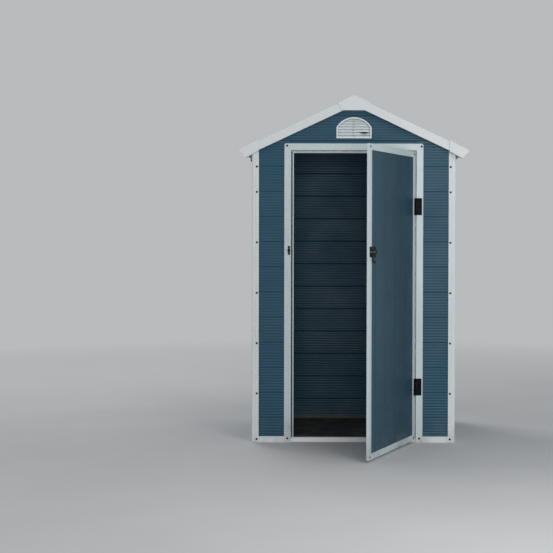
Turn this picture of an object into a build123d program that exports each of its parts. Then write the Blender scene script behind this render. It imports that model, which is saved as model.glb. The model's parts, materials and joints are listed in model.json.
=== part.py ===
"""Resin garden shed, about 4 by 3 feet, with an apex roof and one outward door.

Millimetres, +Z up. The origin is on the ground under the middle of the body, the front
faces -Y and +X is to the right as seen from the front. The walls are sheets of ribbed
resin plank held by white extruded rails, posts and trims. The door stands ajar on two
surface hinges at its right edge.
"""
import os
from math import ceil, cos, floor, radians, sin, tan

from build123d import *

# Body
BODY_W = 1182.0  # over the corner posts, left to right
BODY_D = 870.0  # over the corner posts, front to back
WALL_T = 18.0  # twin-wall plank
TRIM_T = 5.0  # rails and posts stand this far proud of the planks
POST_LEG = 40.0
POST_ROUND = 6.0
POST_LINE = 22.0  # a fine V line down each face, from the post's outer edge
POST_LINE_SIDE = 1.6
RAIL_H = 35.0
RAIL_WEB = 10.0  # the planks stand on this web
RAIL_LIP = 8.0  # the rail's face is set back between its lips
RAIL_SETBACK = 1.5
FLOOR_T = 18.0

# Planks
PLANK = 146.5  # height of one plank
JOINT_GROOVE = 5.0  # side of the square that cuts each V groove
GABLE_GAP = 15.0  # from the door frame up to the joint where the gable starts

# Roof, measured down the slope from the ridge and down into the roof from its top line
PITCH = 25.2
RIDGE_H = 2010.0  # the top line of the gable trims, carried up to the middle
EAVE_OVERHANG = 66.0  # the eave trim's tip is this far outside the corner posts
OVERHANG = 36.0  # the gable trims stand this far outside the corner posts
ROOF_T = 18.0
COVER_T = 4.0  # wall of the trims and caps that cover the roof's edges
GABLE_TRIM_DEPTH = 48.0
GABLE_TRIM_FLANGE = 31.0
GABLE_TRIM_RETURN = 14.0
RIDGE_CAP_REACH = 110.0
PANEL_GAP = 16.0  # from the roof panel's lower edge to the eave trim's tip
EAVE_RAKE = 0.4  # the eave trim's face leans in by this share of its depth
EAVE_TRIM_DEPTH = 48.0
EAVE_TRIM_TOP = 72.0
EAVE_TRIM_RETURN = 24.0

# End caps, moulded a little steeper than the roof
CAP_PITCH = 28.0
CAP_FACE = 4.0  # the wall in front of the trims
CAP_WALL = 3.0
CAP_LAP = 4.0  # a cap laps the trim behind it by this much
EAVE_CAP_RISE = 8.0  # its inner end, over the trims' top line
EAVE_CAP_TIP = 12.0  # outside the eave trim's tip, before it is rounded
EAVE_CAP_DROP = 43.0  # its end leans in at 45 degrees over this height
EAVE_CAP_ROUND = 8.0
RIDGE_END_HALF = 73.0  # half its foot
RIDGE_END_DROP = 83.0  # its foot, under the ridge
RIDGE_END_ROUND = 38.0

# Gable vent
VENT_W = 204.0
VENT_GAP = 27.0  # from the door frame up to the vent
VENT_SIDE = 67.0  # the straight part of its sides
VENT_RISE = 59.0
VENT_FRAME = 8.5
VENT_PROUD = 4.0
VENT_WALL = 2.0  # the collar that goes through the gable
VENT_RIB = 3.0  # the upright rib in its middle
SLAT_PITCH = 16.5
SLAT_START = 4.5  # from the border's inner edge up to the lowest slat's middle
SLAT_T = 2.5
SLAT_LEAN = 42.0
BENT_SLAT = 1  # counted from the lowest, it sags on its right half
SLAT_SAG = 4.0

# Door frame
FRAME_W = 806.0
FRAME_DROP = 271.5  # its top, under the ridge
FRAME_ROUND = 10.0  # its upper corners
FRAME_PROUD = 6.0  # the flange's thickness on the planks
FLANGE_W = 39.0
FRAME_WALL = 6.0
STOP_REACH = 15.0  # how far the stop comes into the rebate's opening
STOP_T = 8.0
SEAL_W = 8.0
SEAL_D = 4.0
FRAME_LAP = 22.0  # the inner flange on the back of the planks
SILL_H = 26.0
SILL_D = 28.0
SILL_CHAMFER = 4.0

# Door
DOOR_GAP = 5.0  # beside the leaf, in the rebate
DOOR_HEAD_GAP = 9.0
DOOR_FOOT = 16.0
DOOR_T = 15.0
DOOR_STOP_GAP = 6.0
DOOR_SKIN = 2.0  # the edge trims' flanges over the panel
DOOR_TRIM = 33.0
DOOR_TRIM_WEB = 6.0
DOOR_JOINT = 228.0  # an upright plank joint, from the free edge
DOOR_AJAR = 67.0  # degrees, as it stands

# Hinges and latch
HINGE_H = 98.0
HINGE_LOW = 325.0  # the lower hinge's middle, above the ground
HINGE_HIGH = 317.0  # the upper hinge's middle, under the leaf's top
HINGE_PLATE = 2.5
JAMB_REACH = 34.5  # a plate's outer edge from the pin
DOOR_REACH = 19.0
KNUCKLE_R = 5.0
PIN_R = 2.5
PIN_FIT = 0.3
KNUCKLE_GAP = 0.4
KNUCKLE_CLEAR = 0.8
LATCH_HEIGHT = 1118.0
LATCH_PLATE = (84.0, 56.0)
LATCH_PLATE_T = 2.5
PLATE_ROUND = 5.0
LATCH_INSET = 1.0  # from the free edge
BOLT_R = 4.5
BOLT_LENGTH = 78.0
BOLT_STANDOFF = 8.0  # the bolt's axis, from the leaf's face
BOLT_FIT = 1.0  # round the bolt, in the keeper
GUIDE_W = 10.0
GUIDE_H = 20.0
GUIDE_WALL = 2.5
GUIDE_PITCH = 54.0
HANDLE_R = 3.5
HANDLE_SIDE = 14.0  # the handle starts this far left of the middle and ends as far right
HANDLE_LEG = 40.0
HANDLE_DROP = 54.0
HANDLE_BEND = 12.0
HANDLE_KNOB_R = 5.5
KEEPER_EAR_R = 7.0
KEEPER_EAR_PITCH = 38.0
KEEPER_NECK = 9.0
KEEPER_T = 2.5
KEEPER_INSET = 4.5  # from the flange's inner edge
KEEPER_LOOP_W = 14.0
KEEPER_LOOP_T = 2.5

# Planes of the body
POST_X, POST_Y = BODY_W / 2, BODY_D / 2
FACE_X, FACE_Y = POST_X - TRIM_T, POST_Y - TRIM_T
INNER_X, INNER_Y = FACE_X - WALL_T, FACE_Y - WALL_T
FRAME_H = RIDGE_H - FRAME_DROP
GABLE_FOOT = FRAME_H + GABLE_GAP
VENT_FOOT = FRAME_H + VENT_GAP

# Roof line
SLOPE = radians(PITCH)
SLOPE_COS, SLOPE_SIN, SLOPE_TAN = cos(SLOPE), sin(SLOPE), tan(SLOPE)
CAP_FALL = tan(radians(CAP_PITCH))
EAVE_RUN = (POST_X + EAVE_OVERHANG) / SLOPE_COS
PANEL_RUN = EAVE_RUN - PANEL_GAP
RIDGE_END_FOOT = RIDGE_H - RIDGE_END_DROP
TRIM_FRONT = POST_Y + OVERHANG
ROOF_END = TRIM_FRONT - COVER_T
FLANGE_END = TRIM_FRONT - GABLE_TRIM_FLANGE
UNDERSIDE_H = RIDGE_H - (COVER_T + ROOF_T) / SLOPE_COS
UNDER_RIGHT = Plane(origin=(0, 0, UNDERSIDE_H), z_dir=(SLOPE_SIN, 0, SLOPE_COS))
UNDER_LEFT = Plane(origin=(0, 0, UNDERSIDE_H), z_dir=(-SLOPE_SIN, 0, SLOPE_COS))
DOWN_RIGHT = Plane(origin=(0, 0, RIDGE_H), x_dir=(0, 1, 0), z_dir=(SLOPE_COS, 0, -SLOPE_SIN))

# Door frame and leaf
FRAME_X = FRAME_W / 2
FRAME_FACE = FACE_Y + FRAME_PROUD
REBATE_X = FRAME_X - FLANGE_W
WALL_EDGE = REBATE_X + FRAME_WALL  # the planks stop at the frame's web
WALL_LAP = FRAME_X - WALL_EDGE
STOP_Y = FRAME_FACE - DOOR_T - DOOR_STOP_GAP
FRAME_BACK = INNER_Y - STOP_T
LEAF_X = REBATE_X - DOOR_GAP
LEAF_TOP = FRAME_H - FLANGE_W - DOOR_HEAD_GAP
LEAF_H = LEAF_TOP - DOOR_FOOT
HINGE_HEIGHTS = (HINGE_LOW, LEAF_TOP - HINGE_HIGH)

# Hinge pin, over the middle of the gap, and the plane that the leaf's face is parallel to
PIN_X = REBATE_X - DOOR_GAP / 2
PIN_Y = FRAME_FACE + KNUCKLE_R
AJAR = radians(DOOR_AJAR)
LEAF_PLANE = Plane(origin=(PIN_X, -PIN_Y, 0), x_dir=(cos(AJAR), sin(AJAR), 0),
                   z_dir=(sin(AJAR), -cos(AJAR), 0))
LEAF_HINGE_EDGE = LEAF_X - PIN_X
LEAF_FREE_EDGE = -LEAF_X - PIN_X
LEAF_FACE = LEAF_PLANE.offset(-KNUCKLE_R)


def roof_line(x, depth):
    """Height of the line that runs at a depth under the roof's top line, x from the middle."""
    return RIDGE_H - x * SLOPE_TAN - depth / SLOPE_COS


def slope_point(run, depth):
    """A point in the front view, down the right slope and in from its top line."""
    return (run * SLOPE_COS - depth * SLOPE_SIN, RIDGE_H - run * SLOPE_SIN - depth * SLOPE_COS)


def plank_joints(through, start, end):
    """Where the joints lie between two edges of a sheet, if one goes through the place given."""
    first = ceil((start + JOINT_GROOVE - through) / PLANK)
    last = floor((end - JOINT_GROOVE - through) / PLANK)
    return [through + n * PLANK for n in range(first, last + 1)]


def plank_section(face, back, foot, top):
    """Upright section of a planked sheet, with a V groove on both faces at each joint."""
    with Locations(((face + back) / 2, (foot + top) / 2)):
        Rectangle(abs(back - face), top - foot)
    with Locations([(x, z) for x in (face, back) for z in plank_joints(GABLE_FOOT, foot, top)]):
        Rectangle(JOINT_GROOVE, JOINT_GROOVE, rotation=45, mode=Mode.SUBTRACT)


def rail_section(outward):
    """Section of a base rail: a channel that the planks stand in, open upwards."""
    outer, face, inner = POST_X, FACE_X, INNER_X
    if outward == "y":
        outer, face, inner = POST_Y, FACE_Y, INNER_Y
    Polygon((outer, 0), (outer, RAIL_H), (face, RAIL_H), (face, RAIL_WEB), (inner, RAIL_WEB),
            (inner, RAIL_H), (inner - TRIM_T, RAIL_H), (inner - TRIM_T, 0), align=None)
    with Locations((outer - RAIL_SETBACK / 2, RAIL_H / 2)):
        Rectangle(RAIL_SETBACK, RAIL_H - 2 * RAIL_LIP, mode=Mode.SUBTRACT)


def frame_profile():
    """Door frame extrusion: reach in from its outer edge, and place behind the front."""
    stop_edge = FLANGE_W + STOP_REACH
    return [(0, -FRAME_FACE), (0, -FACE_Y), (WALL_LAP, -FACE_Y), (WALL_LAP, -INNER_Y),
            (WALL_LAP - FRAME_LAP, -INNER_Y), (WALL_LAP - FRAME_LAP, -FRAME_BACK),
            (stop_edge, -FRAME_BACK), (stop_edge, -STOP_Y), (FLANGE_W + SEAL_W, -STOP_Y),
            (FLANGE_W + SEAL_W, -STOP_Y + SEAL_D), (FLANGE_W, -STOP_Y + SEAL_D),
            (FLANGE_W, -FRAME_FACE)]


def vent_outline(inset, mode=Mode.ADD):
    """The vent's outline in the front view: straight sides under a low arch."""
    half = VENT_W / 2 - inset
    foot, shoulder = VENT_FOOT + inset, VENT_FOOT + VENT_SIDE
    crown = shoulder + VENT_RISE - inset
    with BuildLine() as outline:
        Polyline((-half, shoulder), (-half, foot), (half, foot), (half, shoulder))
        ThreePointArc((half, shoulder), (0, crown), (-half, shoulder))
    make_face(outline.edges(), mode=mode)


# Floor and base rails
with BuildPart() as floor_panel:
    with BuildSketch():
        with Locations((0, (INNER_Y - TRIM_T - FRAME_BACK) / 2)):
            Rectangle(2 * (INNER_X - TRIM_T), INNER_Y - TRIM_T + FRAME_BACK)
        with Locations((0, -STOP_Y + SILL_D / 2)):
            Rectangle(2 * REBATE_X, SILL_D, mode=Mode.SUBTRACT)
    extrude(amount=FLOOR_T)

with BuildPart() as base_rail_right:
    with BuildSketch(Plane.XZ):
        rail_section("x")
    extrude(amount=POST_Y - POST_LEG, both=True)

with BuildPart() as base_rail_left:
    mirror(base_rail_right.part, about=Plane.YZ)

with BuildPart() as base_rail_back:
    with BuildSketch(Plane.YZ):
        rail_section("y")
    extrude(amount=POST_X - POST_LEG, both=True)

with BuildPart() as base_rail_front_right:
    with BuildSketch(Plane.YZ.offset(FRAME_X)):
        rail_section("y")
    extrude(amount=POST_X - POST_LEG - FRAME_X)
    mirror(about=Plane.XZ, mode=Mode.REPLACE)

with BuildPart() as base_rail_front_left:
    mirror(base_rail_front_right.part, about=Plane.YZ)

with BuildPart() as door_sill:
    with BuildSketch(Plane.YZ):
        with Locations((-STOP_Y + SILL_D / 2, SILL_H / 2)):
            Rectangle(SILL_D, SILL_H)
        chamfer(vertices().group_by(Axis.Y)[-1], SILL_CHAMFER)
    extrude(amount=REBATE_X, both=True)

# Corner posts
with BuildPart() as corner_post_front_right:
    with BuildSketch():
        Polygon((POST_X - POST_LEG, -POST_Y), (POST_X, -POST_Y), (POST_X, POST_LEG - POST_Y),
                (FACE_X, POST_LEG - POST_Y), (FACE_X, -FACE_Y), (POST_X - POST_LEG, -FACE_Y),
                align=None)
        fillet(vertices().sort_by_distance((POST_X, -POST_Y))[0], POST_ROUND)
        with Locations((POST_X - POST_LINE, -POST_Y), (POST_X, POST_LINE - POST_Y)):
            Rectangle(POST_LINE_SIDE, POST_LINE_SIDE, rotation=45, mode=Mode.SUBTRACT)
    extrude(amount=RIDGE_H)
    split(bisect_by=UNDER_RIGHT, keep=Keep.BOTTOM)

with BuildPart() as corner_post_front_left:
    mirror(corner_post_front_right.part, about=Plane.YZ)

with BuildPart() as corner_post_back_right:
    mirror(corner_post_front_right.part, about=Plane.XZ)

with BuildPart() as corner_post_back_left:
    mirror(corner_post_back_right.part, about=Plane.YZ)

# Walls
with BuildPart() as right_wall:
    with BuildSketch(Plane.XZ):
        plank_section(FACE_X, INNER_X, RAIL_WEB, RIDGE_H)
    extrude(amount=FACE_Y, both=True)
    split(bisect_by=UNDER_RIGHT, keep=Keep.BOTTOM)

with BuildPart() as left_wall:
    mirror(right_wall.part, about=Plane.YZ)

with BuildPart() as back_wall:
    with BuildSketch(Plane.YZ):
        plank_section(FACE_Y, INNER_Y, RAIL_WEB, RIDGE_H)
    extrude(amount=INNER_X, both=True)
    split(bisect_by=UNDER_RIGHT, keep=Keep.BOTTOM)
    split(bisect_by=UNDER_LEFT, keep=Keep.BOTTOM)

with BuildPart() as front_wall_right:
    with BuildSketch(Plane.YZ.offset(WALL_EDGE)):
        plank_section(-FACE_Y, -INNER_Y, RAIL_WEB, GABLE_FOOT)
    extrude(amount=INNER_X - WALL_EDGE)
    split(bisect_by=UNDER_RIGHT, keep=Keep.BOTTOM)

with BuildPart() as front_wall_left:
    mirror(front_wall_right.part, about=Plane.YZ)

with BuildPart() as front_gable:
    with BuildSketch(Plane.YZ):
        plank_section(-FACE_Y, -INNER_Y, GABLE_FOOT, RIDGE_H)
    extrude(amount=INNER_X, both=True)
    with BuildSketch(Plane.YZ):
        plank_section(-FACE_Y, -INNER_Y, FRAME_H - WALL_LAP, GABLE_FOOT)
    extrude(amount=WALL_EDGE, both=True)
    split(bisect_by=UNDER_RIGHT, keep=Keep.BOTTOM)
    split(bisect_by=UNDER_LEFT, keep=Keep.BOTTOM)
    with BuildSketch(Plane.XZ.offset(FACE_Y)):
        vent_outline(VENT_FRAME - VENT_WALL)
    extrude(amount=-WALL_T, mode=Mode.SUBTRACT)


def bent_slat(height, thickness):
    """The outer edge of a slat in the front view, its right half sagging in the middle."""
    half = VENT_W / 2
    with BuildLine() as outline:
        for edge in (height + thickness / 2, height - thickness / 2):
            Line((-half, edge), (0, edge))
            ThreePointArc((0, edge), (half / 2, edge - SLAT_SAG), (half, edge))
        for side in (-half, half):
            Line((side, height - thickness / 2), (side, height + thickness / 2))
    make_face(outline.edges())


with BuildPart() as gable_vent:
    slat_rise = WALL_T * tan(radians(SLAT_LEAN))
    slat_edge = SLAT_T / cos(radians(SLAT_LEAN))
    lowest_slat = VENT_FOOT + VENT_FRAME + SLAT_START - slat_rise / 2
    slat_count = int((VENT_SIDE + VENT_RISE - 2 * VENT_FRAME) / SLAT_PITCH) + 1
    slats = [lowest_slat + n * SLAT_PITCH for n in range(slat_count)]
    with BuildSketch(Plane.XZ.offset(FACE_Y)):
        bent_slat(slats.pop(BENT_SLAT), slat_edge)
        with Locations([(0, height) for height in slats]):
            Rectangle(VENT_W, slat_edge)
    extrude(amount=WALL_T / cos(radians(SLAT_LEAN)),
            dir=(0, cos(radians(SLAT_LEAN)), sin(radians(SLAT_LEAN))))
    with BuildSketch(Plane.XZ.offset(FACE_Y)):
        with Locations((0, VENT_FOOT + (VENT_SIDE + VENT_RISE) / 2)):
            Rectangle(VENT_RIB, VENT_SIDE + VENT_RISE)
    extrude(amount=-WALL_T)
    with BuildSketch(Plane.XZ.offset(FACE_Y)):
        vent_outline(VENT_FRAME)
    extrude(amount=-WALL_T, mode=Mode.INTERSECT)
    with BuildSketch(Plane.XZ.offset(FACE_Y)):
        vent_outline(VENT_FRAME - VENT_WALL)
        vent_outline(VENT_FRAME, Mode.SUBTRACT)
    extrude(amount=-WALL_T)
    with BuildSketch(Plane.XZ.offset(FACE_Y)):
        vent_outline(0)
        vent_outline(VENT_FRAME, Mode.SUBTRACT)
    extrude(amount=VENT_PROUD)

# Door frame
RIGHT_MITRE = Plane(origin=(FRAME_X, 0, FRAME_H), z_dir=(-1, 0, 1))
LEFT_MITRE = Plane(origin=(-FRAME_X, 0, FRAME_H), z_dir=(1, 0, 1))


def round_frame_corner(side):
    """Rounds an upper corner of the frame's front flange, on the right (1) or the left (-1)."""
    with BuildSketch(Plane.XZ.offset(FRAME_FACE)) as tip:
        with Locations((side * FRAME_X, FRAME_H)):
            Rectangle(2 * FRAME_ROUND, 2 * FRAME_ROUND)
        with Locations((side * (FRAME_X - FRAME_ROUND), FRAME_H - FRAME_ROUND)):
            Circle(FRAME_ROUND, mode=Mode.SUBTRACT)
    extrude(tip.sketch, amount=-FRAME_PROUD, mode=Mode.SUBTRACT)


with BuildPart() as door_frame_right:
    with BuildSketch():
        Polygon([(FRAME_X - reach, y) for reach, y in frame_profile()], align=None)
    extrude(amount=FRAME_H)
    split(bisect_by=RIGHT_MITRE, keep=Keep.BOTTOM)
    with BuildSketch():
        with Locations((REBATE_X - STOP_REACH / 2, -STOP_Y + SILL_D / 2)):
            Rectangle(STOP_REACH, SILL_D)
    extrude(amount=SILL_H, mode=Mode.SUBTRACT)
    round_frame_corner(1)

with BuildPart() as door_frame_left:
    mirror(door_frame_right.part, about=Plane.YZ)

with BuildPart() as door_frame_head:
    with BuildSketch(Plane.YZ):
        Polygon([(y, FRAME_H - reach) for reach, y in frame_profile()], align=None)
    extrude(amount=FRAME_X, both=True)
    split(bisect_by=RIGHT_MITRE, keep=Keep.TOP)
    split(bisect_by=LEFT_MITRE, keep=Keep.TOP)
    round_frame_corner(1)
    round_frame_corner(-1)

# Roof
with BuildPart() as roof_panel_right:
    with BuildSketch(DOWN_RIGHT):
        with Locations((0, -COVER_T - ROOF_T / 2)):
            Rectangle(2 * ROOF_END, ROOF_T)
        seams = int(ROOF_END / PLANK)
        with Locations([(n * PLANK, -COVER_T) for n in range(-seams, seams + 1)]):
            Rectangle(JOINT_GROOVE, JOINT_GROOVE, rotation=45, mode=Mode.SUBTRACT)
    extrude(amount=PANEL_RUN)
    split(bisect_by=Plane.YZ, keep=Keep.TOP)

with BuildPart() as roof_panel_left:
    mirror(roof_panel_right.part, about=Plane.YZ)

with BuildPart() as ridge_cap:
    with BuildSketch(Plane.XZ):
        reach_x, reach_z = slope_point(RIDGE_CAP_REACH, 0)
        under_x, under_z = slope_point(RIDGE_CAP_REACH, COVER_T)
        Polygon((0, RIDGE_H), (reach_x, reach_z), (under_x, under_z),
                (0, RIDGE_H - COVER_T / SLOPE_COS), (-under_x, under_z), (-reach_x, reach_z),
                align=None)
    extrude(amount=FLANGE_END, both=True)

with BuildPart() as gable_trim_front_right:
    with BuildSketch(DOWN_RIGHT):
        Polygon((-FLANGE_END, 0), (-TRIM_FRONT, 0), (-TRIM_FRONT, -GABLE_TRIM_DEPTH),
                (GABLE_TRIM_RETURN - TRIM_FRONT, -GABLE_TRIM_DEPTH),
                (GABLE_TRIM_RETURN - TRIM_FRONT, COVER_T - GABLE_TRIM_DEPTH),
                (-ROOF_END, COVER_T - GABLE_TRIM_DEPTH), (-ROOF_END, -COVER_T),
                (-FLANGE_END, -COVER_T), align=None)
    extrude(amount=EAVE_RUN - EAVE_RAKE * EAVE_TRIM_DEPTH)
    split(bisect_by=Plane.YZ, keep=Keep.TOP)

with BuildPart() as gable_trim_front_left:
    mirror(gable_trim_front_right.part, about=Plane.YZ)

with BuildPart() as gable_trim_back_right:
    mirror(gable_trim_front_right.part, about=Plane.XZ)

with BuildPart() as gable_trim_back_left:
    mirror(gable_trim_back_right.part, about=Plane.YZ)


def eave_line(depth, inward=0.0):
    """A point on the raked outer face of the eave trim, or further up the slope."""
    return slope_point(EAVE_RUN - EAVE_RAKE * depth - inward, depth)


with BuildPart() as eave_trim_right:
    with BuildSketch(Plane.XZ):
        Polygon(slope_point(EAVE_RUN - EAVE_TRIM_TOP, 0), eave_line(0),
                eave_line(EAVE_TRIM_DEPTH),
                eave_line(EAVE_TRIM_DEPTH, EAVE_TRIM_RETURN),
                eave_line(EAVE_TRIM_DEPTH - COVER_T, EAVE_TRIM_RETURN),
                eave_line(EAVE_TRIM_DEPTH - COVER_T, COVER_T),
                eave_line(COVER_T, COVER_T),
                slope_point(EAVE_RUN - EAVE_TRIM_TOP, COVER_T), align=None)
    extrude(amount=FLANGE_END, both=True)

with BuildPart() as eave_trim_left:
    mirror(eave_trim_right.part, about=Plane.YZ)


def eave_cap_outline():
    """An eave end cap in the front view, from the corner post's inner edge to its round tip."""
    start = POST_X - POST_LEG
    top = roof_line(start, 0) + EAVE_CAP_RISE
    tip = POST_X + EAVE_OVERHANG + EAVE_CAP_TIP
    tip_height = top - (tip - start) * CAP_FALL
    corner, corner_height = tip - EAVE_CAP_DROP, tip_height - EAVE_CAP_DROP
    Polygon((start, top), (tip, tip_height), (corner, corner_height),
            (start, corner_height + (corner - start) * CAP_FALL), align=None)
    fillet(vertices().sort_by(Axis.X)[-1], EAVE_CAP_ROUND)


with BuildPart() as eave_end_cap_front_right:
    with BuildSketch(Plane.XZ.offset(TRIM_FRONT)):
        eave_cap_outline()
    extrude(amount=CAP_FACE)
    with BuildSketch(Plane.XZ.offset(TRIM_FRONT)):
        eave_cap_outline()
        offset(amount=-CAP_WALL, kind=Kind.INTERSECTION, mode=Mode.SUBTRACT)
        Polygon((0, RIDGE_H), eave_line(0), eave_line(EAVE_TRIM_DEPTH),
                (0, roof_line(0, GABLE_TRIM_DEPTH)), align=None, mode=Mode.SUBTRACT)
    extrude(amount=-(TRIM_FRONT - FLANGE_END + CAP_LAP))

with BuildPart() as eave_end_cap_front_left:
    mirror(eave_end_cap_front_right.part, about=Plane.YZ)

with BuildPart() as eave_end_cap_back_right:
    mirror(eave_end_cap_front_right.part, about=Plane.XZ)

with BuildPart() as eave_end_cap_back_left:
    mirror(eave_end_cap_back_right.part, about=Plane.YZ)

with BuildPart() as ridge_end_cap_front:
    cap_edge = (roof_line(RIDGE_END_HALF, 0) - RIDGE_END_FOOT) * SLOPE_COS + CAP_WALL
    shoulder_x = RIDGE_END_HALF + cap_edge * SLOPE_SIN  # its sides are square to the slope
    shoulder_z = RIDGE_END_FOOT + cap_edge * SLOPE_COS
    with BuildSketch(Plane.XZ.offset(TRIM_FRONT + CAP_FACE)):
        Polygon((-RIDGE_END_HALF, RIDGE_END_FOOT), (RIDGE_END_HALF, RIDGE_END_FOOT),
                (shoulder_x, shoulder_z), (0, shoulder_z + shoulder_x * CAP_FALL),
                (-shoulder_x, shoulder_z), align=None)
        fillet(vertices().sort_by(Axis.Y)[-1], RIDGE_END_ROUND)
    extrude(amount=-(TRIM_FRONT + CAP_FACE - FLANGE_END + CAP_LAP))
    with BuildSketch(Plane.XZ.offset(TRIM_FRONT)):
        Polygon((-BODY_W, 0), (BODY_W, 0), (BODY_W, roof_line(BODY_W, 0)), (0, RIDGE_H),
                (-BODY_W, roof_line(BODY_W, 0)), align=None)
    extrude(amount=-BODY_D, mode=Mode.SUBTRACT)

with BuildPart() as ridge_end_cap_back:
    mirror(ridge_end_cap_front.part, about=Plane.XZ)

# Door leaf
PANEL_EDGES = (LEAF_FREE_EDGE + DOOR_TRIM_WEB, LEAF_HINGE_EDGE - DOOR_TRIM_WEB)
PANEL_FACES = (KNUCKLE_R + DOOR_SKIN, KNUCKLE_R + DOOR_T - DOOR_SKIN)
PANEL_FOOT = Plane(origin=(PIN_X, -PIN_Y, DOOR_FOOT + DOOR_TRIM_WEB), x_dir=LEAF_PLANE.x_dir)
PANEL_H = LEAF_H - 2 * DOOR_TRIM_WEB

with BuildPart() as panel_space:  # what the leaf's edge trims grip
    with BuildSketch(PANEL_FOOT):
        with Locations((sum(PANEL_EDGES) / 2, sum(PANEL_FACES) / 2)):
            Rectangle(PANEL_EDGES[1] - PANEL_EDGES[0], PANEL_FACES[1] - PANEL_FACES[0])
    extrude(amount=PANEL_H)

with BuildPart() as door_panel:
    add(panel_space.part)
    with BuildSketch(PANEL_FOOT):
        with Locations([(x, y) for x in plank_joints(LEAF_FREE_EDGE + DOOR_JOINT, *PANEL_EDGES)
                        for y in PANEL_FACES]):
            Rectangle(JOINT_GROOVE, JOINT_GROOVE, rotation=45)
    extrude(amount=PANEL_H, mode=Mode.SUBTRACT)

LEAF_CORNERS = [(LEAF_FREE_EDGE, DOOR_FOOT), (LEAF_HINGE_EDGE, DOOR_FOOT),
                (LEAF_HINGE_EDGE, LEAF_TOP), (LEAF_FREE_EDGE, LEAF_TOP)]
SIGHT_CORNERS = [(LEAF_FREE_EDGE + DOOR_TRIM, DOOR_FOOT + DOOR_TRIM),
                 (LEAF_HINGE_EDGE - DOOR_TRIM, DOOR_FOOT + DOOR_TRIM),
                 (LEAF_HINGE_EDGE - DOOR_TRIM, LEAF_TOP - DOOR_TRIM),
                 (LEAF_FREE_EDGE + DOOR_TRIM, LEAF_TOP - DOOR_TRIM)]


def door_trim(first, second):
    """One mitred edge trim of the leaf, a channel round the panel's edge."""
    with BuildSketch(LEAF_FACE) as outline:
        Polygon(LEAF_CORNERS[first], LEAF_CORNERS[second], SIGHT_CORNERS[second],
                SIGHT_CORNERS[first], align=None)
    extrude(outline.sketch, amount=-DOOR_T)
    add(panel_space.part, mode=Mode.SUBTRACT)


with BuildPart() as door_rail_bottom:
    door_trim(0, 1)

with BuildPart() as door_stile_hinge:
    door_trim(1, 2)

with BuildPart() as door_rail_top:
    door_trim(2, 3)

with BuildPart() as door_stile_free:
    door_trim(3, 0)

# Hinges
KNUCKLE_SPAN = HINGE_H / 4
PLATE_ROOT = KNUCKLE_R + KNUCKLE_CLEAR

with BuildPart() as hinge_jamb_leaves:
    for height in HINGE_HEIGHTS:
        with BuildSketch(Plane.XZ.offset(FRAME_FACE)):
            with Locations((PIN_X + (JAMB_REACH + PLATE_ROOT) / 2, height)):
                Rectangle(JAMB_REACH - PLATE_ROOT, HINGE_H)
            with Locations([(PIN_X + PLATE_ROOT / 2, height + side * 1.5 * KNUCKLE_SPAN)
                            for side in (-1, 1)]):
                Rectangle(PLATE_ROOT, KNUCKLE_SPAN)
        extrude(amount=HINGE_PLATE)
        for foot in (height - HINGE_H / 2, height + HINGE_H / 4):
            with BuildSketch(Plane.XY.offset(foot)):
                with Locations((PIN_X, -PIN_Y)):
                    Circle(KNUCKLE_R)
            extrude(amount=KNUCKLE_SPAN)
        with BuildSketch(Plane.XY.offset(height - HINGE_H / 2)):
            with Locations((PIN_X, -PIN_Y)):
                Circle(PIN_R)
        extrude(amount=HINGE_H)

with BuildPart() as hinge_door_leaves:
    for height in HINGE_HEIGHTS:
        span = 2 * KNUCKLE_SPAN - 2 * KNUCKLE_GAP
        with BuildSketch(LEAF_FACE):
            with Locations((-(DOOR_REACH + PLATE_ROOT) / 2, height)):
                Rectangle(DOOR_REACH - PLATE_ROOT, HINGE_H)
            with Locations((-PLATE_ROOT / 2, height)):
                Rectangle(PLATE_ROOT, span)
        extrude(amount=HINGE_PLATE)
        with BuildSketch(Plane.XY.offset(height - span / 2)):
            with Locations((PIN_X, -PIN_Y)):
                Circle(KNUCKLE_R)
        extrude(amount=span)
        with BuildSketch(Plane.XY.offset(height - span / 2)):
            with Locations((PIN_X, -PIN_Y)):
                Circle(PIN_R + PIN_FIT)
        extrude(amount=span, mode=Mode.SUBTRACT)

# Latch
BOLT_PLANE = LEAF_FACE.offset(BOLT_STANDOFF)

with BuildPart() as door_latch:
    latch_x = LEAF_FREE_EDGE + LATCH_INSET + LATCH_PLATE[0] / 2
    with BuildSketch(LEAF_FACE):
        with Locations((latch_x, LATCH_HEIGHT)):
            RectangleRounded(*LATCH_PLATE, PLATE_ROUND)
    extrude(amount=LATCH_PLATE_T)
    with BuildSketch(LEAF_FACE):
        with Locations([(latch_x + side * GUIDE_PITCH / 2, LATCH_HEIGHT) for side in (-1, 1)]):
            Rectangle(GUIDE_W, GUIDE_H)
    extrude(amount=BOLT_STANDOFF + BOLT_R + GUIDE_WALL)
    bolt_start = BOLT_PLANE.from_local_coords((latch_x - BOLT_LENGTH / 2, LATCH_HEIGHT, 0))
    with BuildSketch(Plane(origin=bolt_start, z_dir=LEAF_PLANE.x_dir)):
        Circle(BOLT_R)
    extrude(amount=BOLT_LENGTH)
    with BuildLine(BOLT_PLANE) as handle:
        FilletPolyline((latch_x - HANDLE_SIDE, LATCH_HEIGHT),
                       (latch_x - HANDLE_SIDE, LATCH_HEIGHT - HANDLE_LEG),
                       (latch_x + HANDLE_SIDE, LATCH_HEIGHT - HANDLE_DROP), radius=HANDLE_BEND)
    with BuildSketch(Plane(origin=handle.line @ 0, z_dir=handle.line % 0)):
        Circle(HANDLE_R)
    sweep(path=handle.line)
    with Locations(handle.line @ 1):
        Sphere(HANDLE_KNOB_R)

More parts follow.
